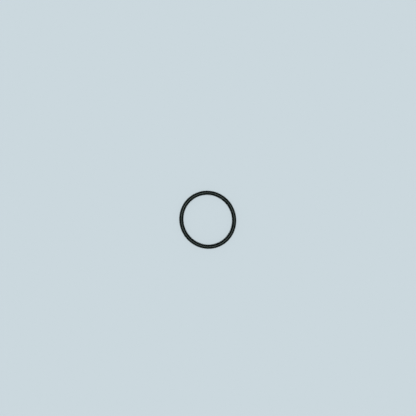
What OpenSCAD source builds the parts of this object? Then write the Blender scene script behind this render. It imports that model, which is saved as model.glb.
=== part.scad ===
// Rubber O-ring, one moulded piece, lying flat and unstretched.
// Its middle is at the origin and its own axis is along Z. The limp ring lies slightly
// oval, with its long way along X and its short way along Y.

/* [Ring] */
// Inside diameter as moulded, when the ring is a true circle
inside_d = 37; // [30:0.5:45]
// Diameter of the round rubber section
section_d = 3; // [2:0.1:4]
// How much tighter the limp ring bends at its ends, and wider at its sides, than the true circle
bend_change = 0.85; // [0:0.05:2]

/* [Parting line] */
// How far the trimmed mould flash stands proud of the round section
flash_proud = 0.05; // [0.02:0.01:0.1]
// Width of the trimmed mould flash
flash_w = 0.12; // [0.06:0.02:0.2]

/* [Hidden] */
$fn = 128;

// Radius of the circle through the middle of the section, as moulded
mean_r = (inside_d + section_d) / 2;
// The limp ring is an oval of four quarter turns. Together they keep the moulded length.
end_bend_r = mean_r - bend_change;
side_bend_r = mean_r + bend_change;

// The rubber cut across: a round section with the flash on both sides of it
module section() {
  circle(d = section_d);
  square([section_d + 2 * flash_proud, flash_w], center = true);
}

// A quarter turn from +X round to +Y, centred so that it runs on into the next one
module quarter_turn(bend_r) {
  translate([mean_r - bend_r, mean_r - bend_r, 0])
    rotate_extrude(angle = 90)
      translate([bend_r, 0]) section();
}

module o_ring() {
  color("#161b1a")
    // The quarters meet between the long way and the short way
    rotate([0, 0, -45])
      for (way = [0, 180]) {
        rotate([0, 0, way]) quarter_turn(end_bend_r);
        rotate([0, 0, way + 90]) quarter_turn(side_bend_r);
      }
}

o_ring();
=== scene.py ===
import math

import bmesh
import bpy
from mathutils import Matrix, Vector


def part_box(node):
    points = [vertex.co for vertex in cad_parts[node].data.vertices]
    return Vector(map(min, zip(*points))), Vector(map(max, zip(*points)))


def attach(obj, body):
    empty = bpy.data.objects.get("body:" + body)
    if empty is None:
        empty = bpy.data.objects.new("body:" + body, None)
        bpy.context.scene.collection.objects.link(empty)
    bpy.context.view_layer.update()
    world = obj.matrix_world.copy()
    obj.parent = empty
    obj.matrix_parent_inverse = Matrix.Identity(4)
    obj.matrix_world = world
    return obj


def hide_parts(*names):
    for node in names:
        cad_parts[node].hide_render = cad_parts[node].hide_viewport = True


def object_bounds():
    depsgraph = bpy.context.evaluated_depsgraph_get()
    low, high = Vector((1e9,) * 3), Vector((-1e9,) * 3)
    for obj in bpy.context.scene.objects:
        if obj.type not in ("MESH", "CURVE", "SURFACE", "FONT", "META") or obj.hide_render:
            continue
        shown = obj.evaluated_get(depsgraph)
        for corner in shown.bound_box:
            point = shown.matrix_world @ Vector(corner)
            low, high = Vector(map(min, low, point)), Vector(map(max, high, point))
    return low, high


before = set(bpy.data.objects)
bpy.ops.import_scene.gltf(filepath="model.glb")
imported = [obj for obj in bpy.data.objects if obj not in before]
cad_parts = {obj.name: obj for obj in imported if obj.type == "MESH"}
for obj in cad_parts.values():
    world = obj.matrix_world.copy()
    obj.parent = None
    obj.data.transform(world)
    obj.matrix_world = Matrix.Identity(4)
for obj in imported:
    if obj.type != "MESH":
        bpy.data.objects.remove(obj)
cadLow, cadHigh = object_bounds()
print("frame loaded")

mm = 0.001


def linearColour(hexText):
    # an sRGB hex value as the linear colour that a shader takes
    parts = [int(hexText[i:i + 2], 16) / 255 for i in (1, 3, 5)]
    return [c / 12.92 if c <= 0.04045 else ((c + 0.055) / 1.055) ** 2.4 for c in parts] + [1.0]


def addNode(tree, kind, settings=None, inputs=None):
    # one shader node with its settings; an input is a value, or another node's socket to link
    node = tree.nodes.new(kind)
    for name, value in (settings or {}).items():
        setattr(node, name, value)
    for name, value in (inputs or {}).items():
        if isinstance(value, bpy.types.NodeSocket):
            tree.links.new(value, node.inputs[name])
        else:
            node.inputs[name].default_value = value
    return node


def newMaterial(name):
    # an empty node material, with its tree and its output
    material = bpy.data.materials.new(name)
    material.use_nodes = True
    tree = material.node_tree
    tree.nodes.clear()
    return material, tree, addNode(tree, "ShaderNodeOutputMaterial")


# the ring

ring = {
    "flashProud": 0.05 * mm,   # what is left of the mould flash after trimming
    "flashWidth": 0.12 * mm,
    "sectionSides": 96,        # points round the rubber's section
    "flashCuts": 3,            # extra points on each side of the parting line
    "quarterSteps": 120,       # steps along each quarter turn
    "weld": 0.002 * mm,        # points closer than this become one
    "waviness": 0.03 * mm,     # soft unevenness of the moulded surface, and its length
    "wavinessLength": 5 * mm,
    "flashRaggedness": 0.05 * mm,    # how uneven the trimmed edge is, and the length of that
    "flashRagLength": 0.9 * mm,
}


def ovalFromFrame():
    # the oval through the middle of the section: four quarter turns, tight at the ends and
    # wide at the sides, worked out from the frame's box to the nearest 0.01 mm; the centre of
    # each lies the root of 2 times the bend change away from the ring's middle
    low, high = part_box("o_ring")
    halfLong, halfShort, sectionR = (round((high[i] - low[i]) / 2, 5) for i in range(3))
    meanR = (halfLong + halfShort) / 2 - sectionR - ring["flashProud"]
    bendChange = (halfLong - halfShort) / (2 * (math.sqrt(2) - 1))
    return sectionR, meanR, bendChange


def selectVerts(obj, wanted):
    # picks the vertices that wanted() says yes to, and nothing else
    bpy.ops.mesh.select_all(action="DESELECT")
    mesh = bmesh.from_edit_mesh(obj.data)
    for vert in mesh.verts:
        if wanted(vert.co):
            vert.select = True
    mesh.select_flush(True)
    bmesh.update_edit_mesh(obj.data)


def roughen(obj, name, strength, length, depth, group=""):
    # pushes the surface in and out by a soft random pattern, and applies it
    pattern = bpy.data.textures.new(name, "CLOUDS")
    pattern.noise_scale = length
    pattern.noise_depth = depth
    push = obj.modifiers.new(name, "DISPLACE")
    push.texture = pattern
    push.texture_coords = "LOCAL"
    push.strength = strength
    push.mid_level = 0.5
    push.vertex_group = group
    bpy.ops.object.modifier_apply(modifier=name)


def makeRing():
    sectionR, meanR, bendChange = ovalFromFrame()
    bpy.ops.object.select_all(action="DESELECT")
    bpy.ops.mesh.primitive_circle_add(
        vertices=ring["sectionSides"], radius=sectionR, fill_type="NOTHING",
        location=(meanR, bendChange, 0), rotation=(math.pi / 2, 0, 0))
    obj = bpy.context.object
    obj.name = "o_ring_rubber"
    bpy.ops.object.transform_apply(location=True, rotation=True, scale=True)

    # the trimmed flash is a low ridge on the inside and the outside of the section, cut from
    # the points at the parting line and the first ones above and below it
    bpy.ops.object.mode_set(mode="EDIT")
    first, second = (sectionR * math.sin(n * 2 * math.pi / ring["sectionSides"]) for n in (1, 2))
    selectVerts(obj, lambda co: abs(co.z) < (first + second) / 2)
    bpy.ops.mesh.subdivide(number_cuts=ring["flashCuts"])
    selectVerts(obj, lambda co: abs(co.z) < ring["flashWidth"] / 2)
    grow = (sectionR + ring["flashProud"]) / sectionR
    bpy.ops.transform.resize(value=(grow, 1, 1), center_override=(meanR, bendChange, 0))
    bpy.ops.object.mode_set(mode="OBJECT")

    # each point keeps its place in the section, which the spins below carry round the ring
    place = obj.data.attributes.new("sectionPlace", "FLOAT_VECTOR", "POINT")
    for vert in obj.data.vertices:
        place.data[vert.index].vector = (vert.co.x - meanR, 0, vert.co.z)
    flash = obj.vertex_groups.new(name="flash")
    flash.add([v.index for v in obj.data.vertices if abs(v.co.z) < ring["flashWidth"] / 2], 1, "ADD")

    # the section is spun round the four quarters, whose centres lie off the middle; the
    # spin turns clockwise about its axis, so that axis points down
    bpy.ops.object.mode_set(mode="EDIT")
    bpy.ops.mesh.select_all(action="SELECT")
    for centre in ((1, 1), (1, -1), (-1, -1), (-1, 1)):
        bpy.ops.mesh.spin(
            steps=ring["quarterSteps"], angle=math.pi / 2, axis=(0, 0, -1),
            center=(centre[0] * bendChange, centre[1] * bendChange, 0))
    bpy.ops.mesh.select_all(action="SELECT")
    bpy.ops.mesh.remove_doubles(threshold=ring["weld"])
    bpy.ops.mesh.normals_make_consistent(inside=False)
    bpy.ops.object.mode_set(mode="OBJECT")

    # the long way comes onto X, as in the frame
    obj.rotation_euler.z = -math.pi / 4
    bpy.ops.object.transform_apply(location=True, rotation=True, scale=True)

    roughen(obj, "mouldWaviness", ring["waviness"], ring["wavinessLength"], 1)
    roughen(obj, "trimmedFlash", ring["flashRaggedness"], ring["flashRagLength"], 2, "flash")
    bpy.ops.object.shade_smooth()
    return obj


# moulded nitrile rubber: near black and satin, with a soft line of light along its crown

rubber = {
    "body": "#040706",
    "bloom": "#0c1211",        # thin greyish film that comes out of the rubber
    "cutRubber": "#1a211f",    # where the flash was trimmed, the rubber is torn and duller
    "cutFull": 0.064 * mm,     # how far up and down the section that shows in full
    "cutHeight": 0.16 * mm,    # and how far it shows at all
    "roughness": (0.16, 0.28),       # least and most, over the mottled surface
    "mottleRange": (0.45, 0.85),     # values of the mottle that give those two
    "mottleGrain": 0.3,        # how much of the grain is in the mottle, beside the film
    "gloss": 0.087,            # how strong the shine is, where an ordinary plastic has 0.5
    "shineTint": "#e7fff7",
    "ior": 1.5,
    "bloomSize": 3.0 * mm,
    "bloomNoise": (3, 0.55),   # detail and roughness of the pattern, as in the two below
    "grainSize": 0.32 * mm,    # the real grain is finer, and this shows in a close view
    "grainHeight": 0.022 * mm,
    "grainNoise": (2, 0.6),
    "streakSize": 0.24 * mm,   # lines left by the turned mould, which run along the ring
    "streakLength": 9 * mm,
    "streakHeight": 0.014 * mm,
    "streakNoise": (2, 0.5),
}


def makeRubber():
    material, tree, output = newMaterial("moulded nitrile rubber")
    coords = addNode(tree, "ShaderNodeTexCoord").outputs["Object"]
    place = addNode(tree, "ShaderNodeAttribute", {"attribute_name": "sectionPlace"}).outputs["Vector"]

    detail, fineness = rubber["bloomNoise"]
    film = addNode(tree, "ShaderNodeTexNoise", None, {
        "Vector": coords, "Scale": 1 / rubber["bloomSize"], "Detail": detail, "Roughness": fineness})
    detail, fineness = rubber["grainNoise"]
    grain = addNode(tree, "ShaderNodeTexNoise", None, {
        "Vector": coords, "Scale": 1 / rubber["grainSize"], "Detail": detail, "Roughness": fineness})

    # a point's place in the section, fine, plus its place along the ring, coarse
    across = addNode(tree, "ShaderNodeVectorMath", {"operation": "SCALE"}, {
        0: place, "Scale": 1 / rubber["streakSize"]}).outputs[0]
    along = addNode(tree, "ShaderNodeVectorMath", {"operation": "SCALE"}, {
        0: coords, "Scale": 1 / rubber["streakLength"]}).outputs[0]
    streakPlace = addNode(tree, "ShaderNodeVectorMath", {"operation": "ADD"}, {0: across, 1: along})
    detail, fineness = rubber["streakNoise"]
    streaks = addNode(tree, "ShaderNodeTexNoise", None, {
        "Vector": streakPlace.outputs[0], "Scale": 1, "Detail": detail, "Roughness": fineness})

    colour = addNode(tree, "ShaderNodeMix", {"data_type": "RGBA"}, {"Factor": film.outputs["Fac"]})
    colour.inputs[6].default_value = linearColour(rubber["body"])
    colour.inputs[7].default_value = linearColour(rubber["bloom"])

    # the torn rubber of the parting line, which fades out above and below it
    height = addNode(tree, "ShaderNodeSeparateXYZ", None, {0: place}).outputs["Z"]
    offLine = addNode(tree, "ShaderNodeMath", {"operation": "ABSOLUTE"}, {0: height})
    torn = addNode(tree, "ShaderNodeMapRange", {"interpolation_type": "SMOOTHSTEP"}, {
        "Value": offLine.outputs[0], "From Min": rubber["cutFull"],
        "From Max": rubber["cutHeight"], "To Min": 1, "To Max": 0}).outputs["Result"]
    allColour = addNode(tree, "ShaderNodeMix", {"data_type": "RGBA"}, {"Factor": torn})
    tree.links.new(colour.outputs[2], allColour.inputs[6])
    allColour.inputs[7].default_value = linearColour(rubber["cutRubber"])

    # the shine is mottled: duller where the film and the grain are strong
    mottle = addNode(tree, "ShaderNodeMath", {"operation": "MULTIPLY_ADD"}, {
        0: grain.outputs["Fac"], 1: rubber["mottleGrain"], 2: film.outputs["Fac"]})
    least, most = rubber["mottleRange"]
    smooth, rough = rubber["roughness"]
    roughness = addNode(tree, "ShaderNodeMapRange", None, {
        "Value": mottle.outputs[0], "From Min": least, "From Max": most,
        "To Min": smooth, "To Max": rough})

    lines = addNode(tree, "ShaderNodeBump", None, {
        "Height": streaks.outputs["Fac"], "Strength": 1, "Distance": rubber["streakHeight"]})
    surface = addNode(tree, "ShaderNodeBump", None, {
        "Height": grain.outputs["Fac"], "Strength": 1, "Distance": rubber["grainHeight"],
        "Normal": lines.outputs["Normal"]})

    shader = addNode(tree, "ShaderNodeBsdfPrincipled", None, {
        "Base Color": allColour.outputs[2], "Roughness": roughness.outputs["Result"],
        "Normal": surface.outputs["Normal"], "IOR": rubber["ior"],
        "Specular IOR Level": rubber["gloss"],
        "Specular Tint": linearColour(rubber["shineTint"])})
    tree.links.new(shader.outputs["BSDF"], output.inputs["Surface"])
    return material


ringPiece = makeRing()
ringPiece.data.materials.append(makeRubber())
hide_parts("o_ring")
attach(ringPiece, "root")
print("ring made:", len(ringPiece.data.polygons), "faces")


# the floor: plain, the pale blue-grey that the paper has in the photograph

floor = {"colour": "#cbd8de", "size": 14.0}    # the size is in metres


def makeFloor():
    bpy.ops.object.select_all(action="DESELECT")
    bpy.ops.mesh.primitive_plane_add(size=floor["size"], location=(0, 0, cadLow[2]))
    plane = bpy.context.object
    plane.name = "floor"
    material, tree, output = newMaterial("plain pale floor")
    shader = addNode(tree, "ShaderNodeBsdfDiffuse", None, {"Color": linearColour(floor["colour"])})
    tree.links.new(shader.outputs["BSDF"], output.inputs["Surface"])
    plane.data.materials.append(material)


makeFloor()
print("floor made")


# the light: one round soft light straight above, far enough off that the floor is even as far
# as a low view sees, in a dim room; walls as pale as the floor are seen, but light nothing

light = {
    "width": 24,               # degrees across, as the ring sees it
    "strength": 2.67,          # with the room, it makes a colour look as it is written
    "roomColour": "#6c6c6c",   # its light softens the shade beside the ring
    "wallTop": 20,             # degrees above the horizon at which the walls start to fade
    "fadeTop": 27,             # degrees above the horizon at which they are gone
}


def makeLight():
    overhead = bpy.data.lights.new("overhead softbox", "SUN")
    overhead.angle = math.radians(light["width"])
    overhead.energy = light["strength"]
    lamp = bpy.data.objects.new("overhead softbox", overhead)
    bpy.context.scene.collection.objects.link(lamp)

    world = bpy.data.worlds.new("room")
    world.use_nodes = True
    bpy.context.scene.world = world
    tree = world.node_tree
    tree.nodes.clear()
    # how far up a direction points, from 0 at the horizon to 1 straight above
    upward = addNode(tree, "ShaderNodeSeparateXYZ", None, {
        0: addNode(tree, "ShaderNodeTexCoord").outputs["Generated"]}).outputs["Z"]
    wallHere = addNode(tree, "ShaderNodeMapRange", {"interpolation_type": "SMOOTHSTEP"}, {
        "Value": upward, "From Min": math.sin(math.radians(light["wallTop"])),
        "From Max": math.sin(math.radians(light["fadeTop"])), "To Min": 1, "To Max": 0})
    paths = addNode(tree, "ShaderNodeLightPath").outputs
    seen = addNode(tree, "ShaderNodeMath", {"operation": "ADD"}, {
        0: paths["Is Camera Ray"], 1: paths["Is Glossy Ray"]})
    seen = addNode(tree, "ShaderNodeMath", {"operation": "ADD"}, {
        0: seen.outputs[0], 1: paths["Is Transmission Ray"]})
    wallSeen = addNode(tree, "ShaderNodeMath", {"operation": "MULTIPLY", "use_clamp": True}, {
        0: seen.outputs[0], 1: wallHere.outputs["Result"]})
    dim = addNode(tree, "ShaderNodeBackground", None, {"Color": linearColour(light["roomColour"])})
    walls = addNode(tree, "ShaderNodeBackground", None, {"Color": linearColour(floor["colour"])})
    both = addNode(tree, "ShaderNodeMixShader", None, {
        0: wallSeen.outputs[0], 1: dim.outputs[0], 2: walls.outputs[0]})
    addNode(tree, "ShaderNodeOutputWorld", None, {"Surface": both.outputs[0]})


makeLight()
print("light made")


# the camera: nearly straight down, framed as the photograph is

camera = {
    "distance": 0.400,               # metres
    "pixelsPerMm": 1.332,            # at the floor
    "frameWidth": 416,
    "ringCentre": (207.75, 219.74),  # pixels from the frame's top left corner
    "lean": 2.6,                     # degrees that the view leans towards the frame's right
    "roll": 62.2,                    # degrees from the frame's right down to the ring's long way
    "sensor": 36.0,                  # mm wide, which only sets the lens length with it
}


def makeCamera():
    data = bpy.data.cameras.new("camera")
    cam = bpy.data.objects.new("camera", data)
    bpy.context.scene.collection.objects.link(cam)
    bpy.context.scene.camera = cam
    focalPixels = camera["pixelsPerMm"] * camera["distance"] / mm
    data.sensor_width = camera["sensor"]
    data.lens = camera["sensor"] * focalPixels / camera["frameWidth"]
    roll, lean = math.radians(camera["roll"]), math.radians(camera["lean"])
    right = (math.cos(roll), math.sin(roll))
    up = (-math.sin(roll), math.cos(roll))
    # the ring's middle is this far right and up of the frame's middle, in metres
    half = camera["frameWidth"] / 2
    toRight = (camera["ringCentre"][0] - half) / camera["pixelsPerMm"] * mm
    toUp = (half - camera["ringCentre"][1]) / camera["pixelsPerMm"] * mm
    back = camera["distance"] * math.sin(lean)
    cam.location = [-right[i] * (toRight + back) - up[i] * toUp for i in range(2)] + [
        cadLow[2] + camera["distance"] * math.cos(lean)]
    cam.rotation_euler = (0, -lean, roll)


makeCamera()
bpy.context.scene.view_settings.view_transform = "Standard"
print("camera made")
